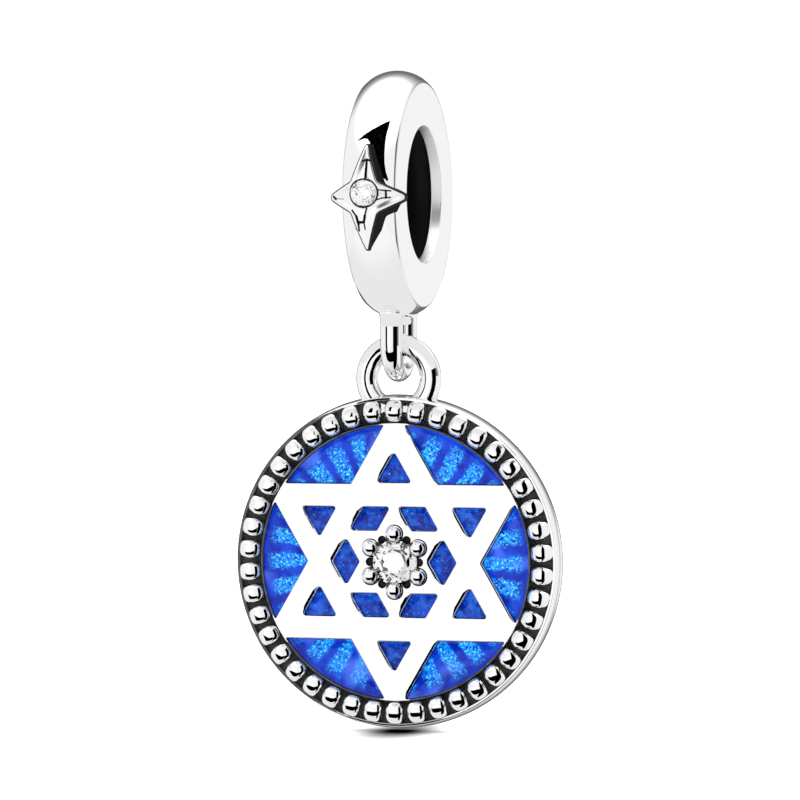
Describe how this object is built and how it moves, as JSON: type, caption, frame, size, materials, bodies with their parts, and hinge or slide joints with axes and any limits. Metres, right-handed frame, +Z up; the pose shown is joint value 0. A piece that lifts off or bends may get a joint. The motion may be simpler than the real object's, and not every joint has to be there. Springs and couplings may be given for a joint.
{
  "type": "star of david pendant",
  "caption": "Hanging charm: a hollow round silver bail with a small stone-set star, and an enamelled disc with a six-pointed star, beaded border and centre stone, swinging on linked rings.",
  "frame": {"origin": "centre of the bail's bore, where the charm hangs on a bracelet", "axes": "+X along the bore, +Z up, and the disc's face towards -Y"},
  "size_m": [0.0116, 0.0091, 0.0228],
  "materials": {
    "silver": "polished, blackened in the groove and notches",
    "clear_stone": "clear, cut and polished",
    "bright_enamel": "glossy translucent enamel over rays",
    "deep_enamel": "glossy translucent enamel"
  },
  "bodies": {
    "bail": {"bail": "silver", "bail_stone": "clear_stone"},
    "pendant": {"medallion": "silver", "centre_stone": "clear_stone", "enamel_segment_1": "bright_enamel", "enamel_segment_2": "bright_enamel", "enamel_segment_3": "bright_enamel", "enamel_segment_4": "bright_enamel", "enamel_segment_5": "bright_enamel", "enamel_segment_6": "bright_enamel", "enamel_triangle_1": "deep_enamel", "enamel_triangle_2": "deep_enamel", "enamel_triangle_3": "deep_enamel", "enamel_triangle_4": "deep_enamel", "enamel_triangle_5": "deep_enamel", "enamel_triangle_6": "deep_enamel", "enamel_lozenge_1": "deep_enamel", "enamel_lozenge_2": "deep_enamel", "enamel_lozenge_3": "deep_enamel", "enamel_lozenge_4": "deep_enamel", "enamel_lozenge_5": "deep_enamel", "enamel_lozenge_6": "deep_enamel"}
  },
  "joints": [
    {"name": "pendant_swing", "type": "hinge", "parent": "bail", "child": "pendant", "pos_m": [0, 0, -0.00522], "axis": [1, 0, 0], "range_deg": [-100, 105]}
  ]
}
